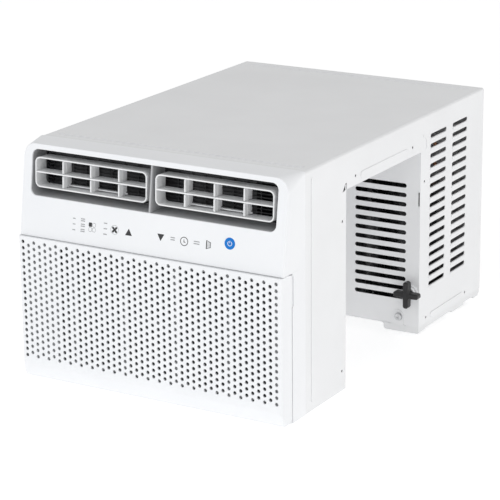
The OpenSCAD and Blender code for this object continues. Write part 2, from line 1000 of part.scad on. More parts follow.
knob_washer(1);  // knob_washer_right
wall_knob(-1);  // wall_knob_left
wall_knob(1);  // wall_knob_right
wall_stud(-1);  // wall_stud_left
wall_stud(1);  // wall_stud_right
ground_screw();
rear_screws();
cord_gland();
room_sensor();
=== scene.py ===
# %% [markdown]
# # A room air conditioner that sits over a window sill
# The real machine is three boxes in one: an indoor section with a moulded front, a low bridge over
# the sill, and an outdoor section of painted sheet metal. The CAD parts already hold every size and
# every joint, so this lesson leaves them in place as a frame. It rounds the edges that a mould or a
# press brake rounds, adds the small pieces that only the eye needs, and gives every part a finish.

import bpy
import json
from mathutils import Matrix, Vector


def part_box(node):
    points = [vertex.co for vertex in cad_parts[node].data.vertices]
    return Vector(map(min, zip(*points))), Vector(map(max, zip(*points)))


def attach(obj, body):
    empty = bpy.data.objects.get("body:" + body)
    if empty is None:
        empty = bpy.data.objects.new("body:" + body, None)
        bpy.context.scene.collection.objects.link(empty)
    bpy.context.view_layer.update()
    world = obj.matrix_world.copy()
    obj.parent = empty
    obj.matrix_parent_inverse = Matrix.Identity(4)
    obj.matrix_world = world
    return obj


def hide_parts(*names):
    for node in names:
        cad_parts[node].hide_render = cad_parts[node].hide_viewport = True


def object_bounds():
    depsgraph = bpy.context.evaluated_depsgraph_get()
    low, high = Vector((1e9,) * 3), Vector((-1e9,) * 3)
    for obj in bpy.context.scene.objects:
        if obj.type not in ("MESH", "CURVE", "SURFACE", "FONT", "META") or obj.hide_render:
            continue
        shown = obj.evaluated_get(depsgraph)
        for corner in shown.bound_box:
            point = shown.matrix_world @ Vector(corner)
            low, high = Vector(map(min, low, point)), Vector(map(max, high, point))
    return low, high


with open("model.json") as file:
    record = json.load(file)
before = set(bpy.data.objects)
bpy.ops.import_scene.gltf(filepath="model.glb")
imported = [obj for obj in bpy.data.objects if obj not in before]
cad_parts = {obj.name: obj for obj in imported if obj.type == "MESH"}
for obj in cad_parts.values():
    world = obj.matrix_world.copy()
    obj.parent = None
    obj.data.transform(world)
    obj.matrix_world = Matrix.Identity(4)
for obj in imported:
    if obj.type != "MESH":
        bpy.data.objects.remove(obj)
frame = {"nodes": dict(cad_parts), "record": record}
cad_low, cad_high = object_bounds()
print("CAD box", [round(v, 4) for v in cad_low], "to", [round(v, 4) for v in cad_high])

# %% [markdown]
# ## Names used all through
# Sizes are in metres, so one millimetre gets a name. Each part's body and finish come from the
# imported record, which keeps this script and the CAD in step if a part ever changes hands.

# %% Helpers that every step uses
import json
import math
import bpy
from mathutils import Matrix, Vector

MM = 0.001
SLOT_OF = {part["node"]: part["material_slot"] for part in frame["record"]["subparts"]}
BODY_OF = {node: body
           for body, nodes in frame["record"]["behaviour"]["bodies"].items()
           for node in nodes}


def pick_only(*pieces):
    """Selects these pieces and nothing else; operators act on whatever is selected."""
    if bpy.context.mode != "OBJECT":
        bpy.ops.object.mode_set(mode="OBJECT")
    bpy.ops.object.select_all(action="DESELECT")
    for piece in pieces:
        piece.select_set(True)
    bpy.context.view_layer.objects.active = pieces[0]


def settle(piece):
    """Moves a piece's place, turn and size into its mesh, so its object sits at the origin."""
    pick_only(piece)
    bpy.ops.object.transform_apply(location=True, rotation=True, scale=True)
    return piece


def edit(piece, elements="FACE"):
    """Opens a piece in edit mode with nothing selected."""
    pick_only(piece)
    bpy.ops.object.mode_set(mode="EDIT")
    bpy.ops.mesh.select_mode(type=elements)
    bpy.ops.mesh.select_all(action="DESELECT")


def select_faces(piece, wanted):
    """Leaves edit mode, selects the faces that pass a test of centre and normal, and goes back."""
    bpy.ops.object.mode_set(mode="OBJECT")
    for face in piece.data.polygons:
        face.select = wanted(face.center, face.normal)
    bpy.ops.object.mode_set(mode="EDIT")


def smooth(piece, angle=35):
    pick_only(piece)
    bpy.ops.object.shade_smooth_by_angle(angle=math.radians(angle))


def round_edges(piece, width, segments=2, sharp=30, wanted=None):
    """Bevels the edges sharper than an angle, or those of them whose ends both pass a test."""
    edit(piece, "EDGE")
    bpy.ops.mesh.edges_select_sharp(sharpness=math.radians(sharp))
    if wanted:
        bpy.ops.object.mode_set(mode="OBJECT")
        points = piece.data.vertices
        for edge in piece.data.edges:
            if edge.select and not all(wanted(points[i].co) for i in edge.vertices):
                edge.select = False
        bpy.ops.object.mode_set(mode="EDIT")
    bpy.ops.mesh.bevel(offset=width, segments=segments, affect="EDGES", clamp_overlap=True)
    bpy.ops.object.mode_set(mode="OBJECT")
    smooth(piece)
    flatten = piece.modifiers.new("flatten", "WEIGHTED_NORMAL")
    flatten.keep_sharp = True
    bpy.ops.object.modifier_apply(modifier=flatten.name)


def box_centre(node):
    low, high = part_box(node)
    return (low + high) / 2


def own_copy(piece, name):
    """A second piece of the same shape with a mesh of its own."""
    twin = piece.copy()
    twin.data = piece.data.copy()
    twin.name = name
    bpy.context.collection.objects.link(twin)
    return twin


def join(pieces, name):
    """One piece from several."""
    pick_only(*pieces)
    if len(pieces) > 1:
        bpy.ops.object.join()
    pieces[0].name = name
    return pieces[0]


def dress(piece, finish, body, stands_for=()):
    """Gives a finished piece its material and its body, and hides the parts that it stands for."""
    piece.data.materials.clear()
    piece.data.materials.append(finish)
    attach(piece, body)
    if stands_for:
        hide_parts(*stands_for)
    return piece


# %% [markdown]
# ## The camera
# The view is a long lens from the right of the front and a little above, which keeps the upright
# edges almost parallel. The place, turn and dip are set as plain numbers, and the matrix is built
# from the three directions that a camera has: right, up and backwards.

# %% Camera
CAMERA_PLACE = Vector((1.7166, -2.9540, 1.2003))
CAMERA_TURN = math.radians(30.5)
CAMERA_DIP = math.radians(17.04)
CAMERA_ROLL = math.radians(-0.56)
CAMERA_LENS = 153.55

looking = Vector((-math.sin(CAMERA_TURN) * math.cos(CAMERA_DIP),
                  math.cos(CAMERA_TURN) * math.cos(CAMERA_DIP), -math.sin(CAMERA_DIP)))
level_right = Vector((math.cos(CAMERA_TURN), math.sin(CAMERA_TURN), 0))
level_up = level_right.cross(looking)
right = level_right * math.cos(CAMERA_ROLL) + level_up * math.sin(CAMERA_ROLL)
up = level_up * math.cos(CAMERA_ROLL) - level_right * math.sin(CAMERA_ROLL)
bpy.ops.object.camera_add()
camera = bpy.context.object
camera.matrix_world = (Matrix.Translation(CAMERA_PLACE)
                       @ Matrix((right, up, -looking)).transposed().to_4x4())
camera.data.lens = CAMERA_LENS
bpy.context.scene.camera = camera
print("camera at", [round(v, 3) for v in camera.location], "lens", CAMERA_LENS)

# %% [markdown]
# ## Floor and light
# A product like this is shown on white card in a bright tent. The world is the tent, dimmer
# overhead than at the horizon, so the top reads a shade darker than the front and the side. The
# card is almost white and faintly lit from below, as a translucent table is. A large soft light in
# front brings the moulded face forward, a weak one lifts the side, a small high one runs along the
# top edge, and a small low one reaches into the notch.

# %% Floor, world and lights
FLOOR_SIZE = 14
bpy.ops.mesh.primitive_plane_add(size=FLOOR_SIZE)
floor = bpy.context.object
floor.name = "floor"
card = bpy.data.materials.new("white_card")
card.use_nodes = True
card_shader = card.node_tree.nodes["Principled BSDF"]
card_shader.inputs["Base Color"].default_value = (0.86, 0.86, 0.86, 1)
card_shader.inputs["Roughness"].default_value = 0.9
card_shader.inputs["Emission Color"].default_value = (1, 1, 1, 1)
card_shader.inputs["Emission Strength"].default_value = 0.42
floor.data.materials.append(card)

tent = bpy.data.worlds.new("tent")
bpy.context.scene.world = tent
tent.use_nodes = True
tent.node_tree.nodes["Background"].inputs["Color"].default_value = (1, 1, 1, 1)
tent.node_tree.nodes["Background"].inputs["Strength"].default_value = 0.66


def softbox(name, place, target, size, power, colour=(1, 1, 1)):
    """A large square light aimed at a point."""
    bpy.ops.object.light_add(type="AREA", location=place)
    lamp = bpy.context.object
    lamp.name = name
    lamp.data.size = size
    lamp.data.energy = power
    lamp.data.color = colour
    lamp.rotation_mode = "QUATERNION"
    lamp.rotation_quaternion = (Vector(target) - Vector(place)).to_track_quat("-Z", "Y")
    return lamp


middle = (cad_low + cad_high) / 2
softbox("front_softbox", (-1.2, -3.4, 1.0), middle, 2.4, 23, (0.93, 0.965, 1.0))
softbox("side_softbox", (3.2, 0.2, 0.9), middle, 2.0, 5)
softbox("edge_light", (1.7, -0.6, 2.7), middle, 0.8, 8)
softbox("notch_light", (1.9, -1.3, 0.25), (0.2, 0.1, 0.1), 0.6, 3)
bpy.context.scene.view_settings.view_transform = "Standard"
print("floor", FLOOR_SIZE, "m across, 4 softboxes")

# %% [markdown]
# ## Finishes
# Every finish here is a Principled shader fed by noise on Object coordinates, which are metres on
# the real thing. One noise drifts the colour slightly over a hand's width, one finer noise changes
# the gloss, and the finest one lifts the surface by hundredths of a millimetre. An image texture
# would need unwrapping and would stretch at the folds, and noise in metres does neither.

# %% A finish from three noises


def start_finish(name, metallic=0.0):
    """A new material, its shader and a mapped Object coordinate to hang patterns on."""
    made = bpy.data.materials.new(name)
    made.use_nodes = True
    nodes = made.node_tree.nodes
    shader = nodes["Principled BSDF"]
    shader.inputs["Metallic"].default_value = metallic
    where = nodes.new("ShaderNodeTexCoord")
    mapping = nodes.new("ShaderNodeMapping")
    made.node_tree.links.new(where.outputs["Object"], mapping.inputs["Vector"])
    return made, shader, mapping


def noise(made, mapping, per_metre, detail=2.0):
    """A noise whose blotches come so many to the metre."""
    texture = made.node_tree.nodes.new("ShaderNodeTexNoise")
    texture.inputs["Scale"].default_value = per_metre
    texture.inputs["Detail"].default_value = detail
    made.node_tree.links.new(mapping.outputs["Vector"], texture.inputs["Vector"])
    return texture.outputs["Fac"]


def spread(made, value, low, high):
    """Stretches a noise, which stays near the middle, to run from low to high."""
    ranged = made.node_tree.nodes.new("ShaderNodeMapRange")
    ranged.inputs["From Min"].default_value = 0.3
    ranged.inputs["From Max"].default_value = 0.7
    ranged.inputs["To Min"].default_value = low
    ranged.inputs["To Max"].default_value = high
    made.node_tree.links.new(value, ranged.inputs["Value"])
    return ranged.outputs["Result"]


def blend_colours(made, factor, first, second):
    """Mixes two colours by a factor and returns the colour."""
    mix = made.node_tree.nodes.new("ShaderNodeMix")
    mix.data_type = "RGBA"
    mix.inputs["A"].default_value = (*first, 1)
    mix.inputs["B"].default_value = (*second, 1)
    made.node_tree.links.new(factor, mix.inputs["Factor"])
    return mix.outputs["Result"]


def lift(made, shader, height, distance, strength=1.0):
    """Raises the surface by a height pattern; distance is in metres."""
    bump = made.node_tree.nodes.new("ShaderNodeBump")
    bump.inputs["Distance"].default_value = distance
    bump.inputs["Strength"].default_value = strength
    made.node_tree.links.new(height, bump.inputs["Height"])
    made.node_tree.links.new(bump.outputs["Normal"], shader.inputs["Normal"])


def grained(name, dark, light, gloss, grain, relief, metallic=0.0, drift=9):
    """The common finish: colour drift, uneven gloss, and a fine grain that lifts the surface."""
    made, shader, mapping = start_finish(name, metallic)
    link = made.node_tree.links.new
    link(blend_colours(made, spread(made, noise(made, mapping, drift), 0, 1), dark, light),
         shader.inputs["Base Color"])
    fine = noise(made, mapping, grain)
    link(spread(made, fine, *gloss), shader.inputs["Roughness"])
    lift(made, shader, fine, relief)
    return made, shader


FINISHES = {}
print("finish helpers ready")

# %% [markdown]
# ### Powder coat
# The cabinet is steel sprayed with powder and baked. Powder flows before it sets and leaves orange
# peel, soft hills about two millimetres across and hardly higher than a hair is thick. The pans are
# sprayed from another batch, a little greyer.

# %% Painted sheet metal
FINISHES["cabinet_paint"], paint = grained(
    "white_powder_coat", (0.80, 0.805, 0.815), (0.83, 0.835, 0.845), (0.34, 0.44), 520, 0.00002)
paint.inputs["Coat Weight"].default_value = 0.35
paint.inputs["Coat Roughness"].default_value = 0.16
FINISHES["pan_paint"], _ = grained(
    "pale_powder_coat", (0.76, 0.765, 0.775), (0.80, 0.805, 0.81), (0.42, 0.54), 520, 0.00004)
FINISHES["black_paint"], enamel = grained(
    "black_enamel", (0.014, 0.014, 0.016), (0.026, 0.026, 0.029), (0.22, 0.38), 300, 0.00006)
enamel.inputs["Coat Weight"].default_value = 0.4
print("3 paints")

# %% [markdown]
# ### Moulded plastic
# A mould for a front like this is spark-eroded to a fine, even grain that hides fingerprints. The
# grain is about half a millimetre, and the colour hardly changes, so the two tones are close. The
# front is a cool white, the air guides inside the outlet are a warmer grey, and the guards and fans
# are black.

# %% Plastics
FINISHES["front_plastic"], front_shader = grained(
    "cool_white_plastic", (0.845, 0.855, 0.872), (0.865, 0.873, 0.888), (0.36, 0.46), 1900, 0.000012)
FINISHES["vent_plastic"], _ = grained(
    "vent_plastic", (0.80, 0.805, 0.815), (0.84, 0.845, 0.85), (0.34, 0.44), 1700, 0.00001)
FINISHES["grey_plastic"], _ = grained(
    "grey_plastic", (0.40, 0.405, 0.415), (0.46, 0.465, 0.475), (0.45, 0.6), 1300, 0.00002)
FINISHES["dark_plastic"], _ = grained(
    "black_guard_plastic", (0.020, 0.020, 0.022), (0.034, 0.034, 0.037), (0.45, 0.62), 1100, 0.00003)
FINISHES["knob_plastic"], _ = grained(
    "black_knob_plastic", (0.007, 0.007, 0.008), (0.014, 0.014, 0.015), (0.34, 0.48), 1500, 0.00004)
FINISHES["rubber"], _ = grained(
    "moulded_rubber", (0.016, 0.016, 0.016), (0.030, 0.030, 0.031), (0.70, 0.88), 900, 0.00005)
FINISHES["blue_key"], key_shader = grained(
    "blue_key_film", (0.0, 0.16, 0.56), (0.001, 0.19, 0.62), (0.28, 0.38), 1500, 0.000006)
key_shader.inputs["Specular IOR Level"].default_value = 0.2
print("7 plastics and rubbers")

# %% [markdown]
# ### Bare metal
# Rolled and drawn metal is scratched along the way it moved, so its noise is stretched: the Mapping
# node squeezes the pattern along one axis and the blotches become streaks. Copper darkens unevenly
# after brazing. Zinc plate freezes in flat crystals, and a Voronoi cell pattern is just that.

# %% Metals


def streaked(name, dark, light, gloss, squeeze, grain, relief):
    """Metal with streaks; squeeze is how far the noise is stretched along each axis."""
    made, shader = grained(name, dark, light, gloss, grain, relief, metallic=1.0, drift=25)
    made.node_tree.nodes["Mapping"].inputs["Scale"].default_value = squeeze
    return made


FINISHES["fin_aluminium"] = streaked(
    "rolled_aluminium", (0.62, 0.63, 0.65), (0.76, 0.77, 0.78), (0.28, 0.46), (1, 1, 0.06),
    1400, 0.00002)
FINISHES["copper"] = streaked(
    "drawn_copper", (0.50, 0.22, 0.12), (0.80, 0.42, 0.26), (0.22, 0.42), (1, 1, 0.3), 700, 0.00003)
FINISHES["screw_steel"] = streaked(
    "bright_zinc", (0.52, 0.53, 0.54), (0.70, 0.70, 0.71), (0.22, 0.38), (1, 0.3, 1), 1500, 0.00002)


def galvanised(name):
    """Zinc-dipped sheet: each crystal has its own shade and gloss."""
    made, shader, mapping = start_finish(name, metallic=1.0)
    link = made.node_tree.links.new
    crystals = made.node_tree.nodes.new("ShaderNodeTexVoronoi")
    crystals.inputs["Scale"].default_value = 160
    link(mapping.outputs["Vector"], crystals.inputs["Vector"])
    shade = made.node_tree.nodes.new("ShaderNodeSeparateColor")
    link(crystals.outputs["Color"], shade.inputs["Color"])
    link(blend_colours(made, shade.outputs["Red"], (0.50, 0.51, 0.53), (0.66, 0.67, 0.68)),
         shader.inputs["Base Color"])
    link(spread(made, shade.outputs["Green"], 0.32, 0.46), shader.inputs["Roughness"])
    lift(made, shader, crystals.outputs["Distance"], 0.00002)
    return made


FINISHES["zinc_steel"] = galvanised("galvanised_sheet")
print("4 metals")

# %% [markdown]
# ### Net, foam and circuit board
# The filter is a woven net: two sets of threads, one across and one up, crossing over and under. Two
# Wave textures at right angles give the threads, and the larger of the two at each point gives the
# whole net. Foam is all cells, so it is a Voronoi pattern. The board is green solder mask with
# straight tracks below it, which a Brick texture draws as well as anything.

# %% Net, foam and board


def woven_net(name, pitch, thread, gap_shade):
    """Square net in the upright plane, with a thread pitch in metres."""
    made, shader, mapping = start_finish(name)
    link = made.node_tree.links.new
    sets = []
    for axis in ("X", "Z"):
        wave = made.node_tree.nodes.new("ShaderNodeTexWave")
        wave.bands_direction = axis
        wave.inputs["Scale"].default_value = 1 / pitch * math.pi / 10
        link(mapping.outputs["Vector"], wave.inputs["Vector"])
        sets.append(wave.outputs["Fac"])
    crossing = made.node_tree.nodes.new("ShaderNodeMath")
    crossing.operation = "MAXIMUM"
    link(sets[0], crossing.inputs[0])
    link(sets[1], crossing.inputs[1])
    # The threads take the net's own colour. The near-black gaps between them are painted shade: the
    # dark inside of the unit seen through the net.
    link(blend_colours(made, crossing.outputs["Value"], gap_shade, thread), shader.inputs["Base Color"])
    shader.inputs["Roughness"].default_value = 0.72
    shader.inputs["Sheen Weight"].default_value = 0.15
    lift(made, shader, crossing.outputs["Value"], 0.0002)
    return made


def cellular(name, dark, light, per_metre, relief):
    made, shader, mapping = start_finish(name)
    link = made.node_tree.links.new
    cells = made.node_tree.nodes.new("ShaderNodeTexVoronoi")
    cells.inputs["Scale"].default_value = per_metre
    link(mapping.outputs["Vector"], cells.inputs["Vector"])
    # The colour is darkest in the middle of each cell, which the bump sinks, and lightest at the
    # cell walls: painted shade in the cell hollows.
    link(blend_colours(made, cells.outputs["Distance"], dark, light), shader.inputs["Base Color"])
    shader.inputs["Roughness"].default_value = 0.92
    lift(made, shader, cells.outputs["Distance"], relief)
    return made


def solder_mask(name):
    made, shader, mapping = start_finish(name)
    link = made.node_tree.links.new
    mapping.inputs["Rotation"].default_value = (math.radians(90), 0, 0)
    tracks = made.node_tree.nodes.new("ShaderNodeTexBrick")
    tracks.inputs["Color1"].default_value = (0.012, 0.12, 0.045, 1)
    tracks.inputs["Color2"].default_value = (0.016, 0.15, 0.06, 1)
    tracks.inputs["Mortar"].default_value = (0.04, 0.24, 0.10, 1)
    tracks.inputs["Scale"].default_value = 90
    tracks.inputs["Mortar Size"].default_value = 0.03
    link(mapping.outputs["Vector"], tracks.inputs["Vector"])
    link(tracks.outputs["Color"], shader.inputs["Base Color"])
    shader.inputs["Roughness"].default_value = 0.28
    lift(made, shader, tracks.outputs["Fac"], 0.00004)
    return made


# The dark grey colour is the threads' own. The near-black one is painted shade in the gaps between
# them.
FINISHES["filter_net"] = woven_net("woven_filter_net", 1.4 * MM, (0.11, 0.11, 0.12),
                                   (0.012, 0.012, 0.013))
# The darker colour is painted shade in the hollow middle of each foam cell.
FINISHES["foam"] = cellular("closed_cell_foam", (0.02, 0.02, 0.022), (0.06, 0.06, 0.065), 700,
                            0.0003)
FINISHES["circuit_board"] = solder_mask("green_solder_mask")
print(len(FINISHES), "finishes in all")

# %% Put each finish on its parts
for node, part in frame["nodes"].items():
    part.data.materials.clear()
    part.data.materials.append(FINISHES[SLOT_OF[node]])
print("finishes on", len(frame["nodes"]), "parts")

# %% [markdown]
# ## Rounding what the mould and the press brake round
# A CAD solid has knife edges. A moulded edge has a radius of about a millimetre, and a folded or
# punched steel edge a few tenths, and that thin highlight is most of what makes an object look real.
# A merged copy of the part is opened in edit mode, its flat areas are joined into whole faces, and
# the sharp edges that are left are beveled. Weighted normals then keep the large faces looking flat
# beside the narrow round ones. The copy stands in for the part.

# %% Rounded copies of CAD parts
MERGE_GAP = 0.002 * MM
FLAT_ANGLE = math.radians(0.4)


def rounded_copy(node, width, segments=2, wanted=None, flatten=True):
    """A merged copy of a CAD part with its sharp edges rounded, which stands in for the part."""
    source = frame["nodes"][node]
    piece = bpy.data.objects.new(node + "_rounded", source.data.copy())
    bpy.context.collection.objects.link(piece)
    edit(piece)
    bpy.ops.mesh.select_all(action="SELECT")
    bpy.ops.mesh.customdata_custom_splitnormals_clear()
    bpy.ops.mesh.remove_doubles(threshold=MERGE_GAP)
    if flatten:
        bpy.ops.mesh.dissolve_limited(angle_limit=FLAT_ANGLE)
    round_edges(piece, width, segments, wanted=wanted)
    return dress(piece, source.data.materials[0], BODY_OF[node], [node])


ROUNDING = {
    "front_bezel": (0.9, 3), "cabinet_shell": (0.35, 2), "window_wall": (0.3, 2),
    "vent_frame_left": (0.5, 2), "vent_frame_right": (0.5, 2), "outdoor_pan": (0.5, 2),
    "wall_bush_left": (0.8, 3), "wall_bush_right": (0.8, 3), "vent_duct": (0.4, 2),
    "cord_gland": (0.8, 3),
}
for node, (width, segments) in ROUNDING.items():
    piece = rounded_copy(node, width * MM, segments)
    print(node, len(piece.data.polygons), "faces")
for side in ("left", "right"):
    for number in (1, 2, 3):
        rounded_copy(f"vane_{side}_{number}", 0.5 * MM)

# %% [markdown]
# ### The intake panel
# The panel has more than eight hundred punched holes, and rounding each rim would cost more faces
# than the rest of the machine. Only its outline is rounded, so the edges near a hole are left out,
# and its flat areas stay as triangles, because joining them round so many holes takes minutes.

# %% The intake panel's outline
panel_low, panel_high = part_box("front_grille")
RIM = 4.5 * MM
BOTTOM_RIM = 25 * MM


def on_panel_outline(point):
    return (abs(point.x) > panel_high.x - RIM or point.z > panel_high.z - RIM
            or point.z < panel_low.z + BOTTOM_RIM)


piece = rounded_copy("front_grille", 1.1 * MM, 3, on_panel_outline, flatten=False)
print("front_grille", len(piece.data.polygons), "faces")

# %% [markdown]
# ## Symbols on the control face
# The keys are touch areas behind a smooth face, marked with thin printed symbols, so they have no
# edges of their own. Each symbol starts as a flat circle or plane, is cut to its outline in edit
# mode and is given the thickness of a coat of ink. The marks beside them are plain ticks: they say
# nothing, and stand where a maker prints its settings.

# %% Flat shapes to print with
INK = 0.12 * MM
INK_SUNK = 0.02 * MM
SEAM_HEIGHT = 239 * MM
FACE_LEAN = math.atan(21 / 147)
face_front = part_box("front_bezel")[0].y
FACE_UP = Vector((0, math.sin(FACE_LEAN), math.cos(FACE_LEAN)))
FACE_OUT = Vector((0, -math.cos(FACE_LEAN), math.sin(FACE_LEAN)))


def on_face(x, height, proud):
    """Turns a drawing in the XY plane on to the control face, at x and a height above the floor."""
    climb = (height * MM - SEAM_HEIGHT) / math.cos(FACE_LEAN)
    origin = Vector((x * MM, face_front, SEAM_HEIGHT)) + FACE_UP * climb + FACE_OUT * proud
    axes = Matrix((Vector((1, 0, 0)), FACE_UP, FACE_OUT)).transposed().to_4x4()
    return Matrix.Translation(origin) @ axes


def ink(piece):
    """Thickens a flat drawing from just under the surface to the height of the ink."""
    edit(piece)
    bpy.ops.mesh.select_all(action="SELECT")
    bpy.ops.mesh.extrude_region_move(TRANSFORM_OT_translate={"value": (0, 0, INK)})
    bpy.ops.mesh.select_all(action="SELECT")
    bpy.ops.mesh.normals_make_consistent(inside=False)
    bpy.ops.object.mode_set(mode="OBJECT")
    return piece


def flat_disc(radius, corners=40):
    bpy.ops.mesh.primitive_circle_add(vertices=corners, radius=radius * MM, fill_type="NGON")
    return bpy.context.object


def hollow(piece, line):
    """Leaves only a line of this width along a flat shape's outline."""
    edit(piece)
    bpy.ops.mesh.select_all(action="SELECT")
    bpy.ops.mesh.inset(thickness=line * MM)
    bpy.ops.mesh.delete(type="FACE")
    bpy.ops.object.mode_set(mode="OBJECT")
    return piece


def flat_block(width, height, corner=0.0):
    """A flat rectangle with round corners."""
    bpy.ops.mesh.primitive_plane_add(size=1)
    piece = bpy.context.object
    piece.scale = (width * MM, height * MM, 1)
    settle(piece)
    if corner:
        edit(piece, "VERT")
        bpy.ops.mesh.select_all(action="SELECT")
        bpy.ops.mesh.bevel(offset=corner * MM, segments=4, affect="VERTICES")
        bpy.ops.object.mode_set(mode="OBJECT")
    return piece


def shift(piece, x, y, turn=0.0):
    """Moves and turns a flat drawing within its own plane."""
    piece.location = (x * MM, y * MM, 0)
    piece.rotation_euler = (0, 0, math.radians(turn))
    return settle(piece)


def print_on_face(pieces, name, x, height, finish, proud=-INK_SUNK):
    """Joins the parts of a symbol, inks it and puts it on the control face."""
    symbol = ink(join(pieces, name))
    symbol.matrix_world = on_face(x, height, proud)
    settle(symbol)
    return dress(symbol, finish, "chassis")


INK_GRAIN = ((0.3, 0.42), 1800, 0.000004)
BLACK_INK, _ = grained("black_ink", (0.008, 0.008, 0.009), (0.014, 0.014, 0.015), *INK_GRAIN)
GREY_INK, _ = grained("grey_ink", (0.16, 0.16, 0.17), (0.21, 0.21, 0.22), *INK_GRAIN)
WHITE_INK, _ = grained("white_ink", (0.86, 0.88, 0.90), (0.90, 0.91, 0.92), *INK_GRAIN)
print("face leans back", round(math.degrees(FACE_LEAN), 2), "degrees")

# %% Arrows, clock and mode squares
ARROW = 7.2
print_on_face([flat_disc(ARROW, 3)], "arrow_up", -35.2, 267.9, BLACK_INK)
print_on_face([shift(flat_disc(ARROW, 3), 0, 0, 180)], "arrow_down", 23.0, 271.2, BLACK_INK)
print_on_face([hollow(flat_disc(7.0), 1.1), shift(flat_block(1.0, 4.8), -0.4, 0.7),
               shift(flat_block(3.0, 1.1), 1.0, -1.1, -35)],
              "clock", 65.1, 269.3, BLACK_INK)
SQUARE_PITCH = (6.9, 7.6)
print_on_face([shift(flat_block(6.2, 6.8, 1.4), -SQUARE_PITCH[0] / 2, SQUARE_PITCH[1] / 2)],
              "mode_square_filled", -102.8, 267.8, BLACK_INK)
open_squares = []
for column, row in ((1, 1), (-1, -1), (1, -1)):
    square = hollow(flat_block(6.0, 6.6, 1.9), 0.45)
    open_squares.append(shift(square, column * SQUARE_PITCH[0] / 2, row * SQUARE_PITCH[1] / 2))
print_on_face(open_squares, "mode_squares_open", -102.8, 267.8, GREY_INK)
print("5 symbols")

# %% Fan, filter and power symbols
blades = []
for quarter in range(4):
    blade = flat_disc(1.0, 20)
    blade.scale = (1.8, 2.9, 1)
    settle(blade)
    blades.append(shift(shift(blade, 0, 3.3), 0, 0, 45 + 90 * quarter))
blades.append(flat_disc(1.9, 24))
print_on_face(blades, "fan_blades", -61.2, 269.6, BLACK_INK)
print_on_face([hollow(flat_disc(7.2), 0.35)], "fan_ring", -61.2, 269.6, GREY_INK)

slanted = flat_block(8.0, 13.4)
edit(slanted, "VERT")
bpy.ops.object.mode_set(mode="OBJECT")
for point in slanted.data.vertices:
    point.select = point.co.x > 0
bpy.ops.object.mode_set(mode="EDIT")
bpy.ops.transform.resize(value=(1, 0.62, 1), center_override=(0, 0, 0))
bpy.ops.object.mode_set(mode="OBJECT")
THREAD = 0.35
upright = ((-1, 10.2), (1.2, 8.8), (2.8, 8))
threads = [shift(flat_block(THREAD, height), x, 0) for x, height in upright]
threads += [shift(flat_block(6.4, THREAD), 0.4, y) for y in (-3.2, -1.1, 1.1, 3.2)]
print_on_face([hollow(slanted, 0.7), shift(flat_block(1.5, 13.4), -3.4, 0)], "filter_outline",
              108.1, 270.0, BLACK_INK)
print_on_face(threads, "filter_threads", 108.1, 270.0, GREY_INK)

POWER_KEY = (145, 277.1)
KEY_PROUD = 0.19 * MM
arc = hollow(flat_disc(3.9), 0.8)
edit(arc)
select_faces(arc, lambda centre, normal: centre.y > 0 and abs(centre.x) < 1.9 * MM)
bpy.ops.mesh.delete(type="FACE")
bpy.ops.object.mode_set(mode="OBJECT")
print_on_face([arc, shift(flat_block(0.9, 3.8, 0.3), 0, 2.5)], "power_symbol", *POWER_KEY,
              WHITE_INK, KEY_PROUD)
print("power key box", [round(v / MM, 1) for v in box_centre("power_key")])

# %% Tick marks beside the symbols
TICK = (0.9, 1.6)
TICK_PITCH = 1.3
MIDDLE_ROW = 269
# Each group is the x of its middle, the heights of its rows and the width of a row.
TICK_GROUPS = [
    (-136.9, (277.4, 268.6, 259.6), 6.4),
    (-120.4, (278.6, 275.6, 270.2, 267.2, 262, 259), 8.6),
    (-78.3, (277.6, 269, 260.4), 7.2),
    (44.6, (272.2, 268.8), 9.0),
    (87.2, (272.0, 268.6), 10.5),
]


def repeat_along_x(piece, count, step):
    """Applies an Array modifier that repeats a piece at equal steps along X."""
    pick_only(piece)
    repeat = piece.modifiers.new("repeat", "ARRAY")
    repeat.count = count
    repeat.use_relative_offset = False
    repeat.use_constant_offset = True
    repeat.constant_offset_displace = (step, 0, 0)
    bpy.ops.object.modifier_apply(modifier=repeat.name)
    return piece


marks = []
for x, heights, width in TICK_GROUPS:
    count = int(width / TICK_PITCH)
    for height in heights:
        row = repeat_along_x(flat_block(*TICK), count, TICK_PITCH * MM)
        marks.append(shift(row, x - (count - 1) / 2 * TICK_PITCH, height - MIDDLE_ROW))
print_on_face(marks, "setting_ticks", 0, MIDDLE_ROW, GREY_INK)
print(len(marks), "rows of ticks")

# %% [markdown]
# ## Knobs that screw out against the wall
# Each wall support ends in a black four-armed knob that is turned by hand. A flat square grows four
# arms by extruding its sides, and the corners are rounded while the shape is still flat, which is
# much simpler than rounding them on a solid. The cross is then drawn up to its thickness, its front
# is raised in a step, and a last bevel softens the rims.

# %% One knob, then its twin
KNOB_ARM = 9.6 * MM
knob_low, knob_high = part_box("wall_knob_right")
knob_middle = (knob_low + knob_high) / 2
knob_depth = knob_high.y - knob_low.y
knob_reach = (knob_high.x - knob_low.x) / 2
KNOB_STEP = 1.2 * MM

bpy.ops.mesh.primitive_plane_add(size=KNOB_ARM)
knob = bpy.context.object
knob.name = "turning_knob_right"
for direction in (Vector((1, 0, 0)), Vector((-1, 0, 0)), Vector((0, 1, 0)), Vector((0, -1, 0))):
    edit(knob, "EDGE")
    bpy.ops.object.mode_set(mode="OBJECT")
    corners = knob.data.vertices
    for edge in knob.data.edges:
        middle_point = sum((corners[i].co for i in edge.vertices), Vector()) / 2
        edge.select = (middle_point - direction * KNOB_ARM / 2).length < 0.1 * MM
    bpy.ops.object.mode_set(mode="EDIT")
    bpy.ops.mesh.extrude_region_move(
        TRANSFORM_OT_translate={"value": direction * (knob_reach - KNOB_ARM / 2)})
bpy.ops.mesh.select_all(action="SELECT")
bpy.ops.mesh.remove_doubles(threshold=0.01 * MM)
bpy.ops.mesh.dissolve_limited(angle_limit=math.radians(1))
bpy.ops.object.mode_set(mode="OBJECT")


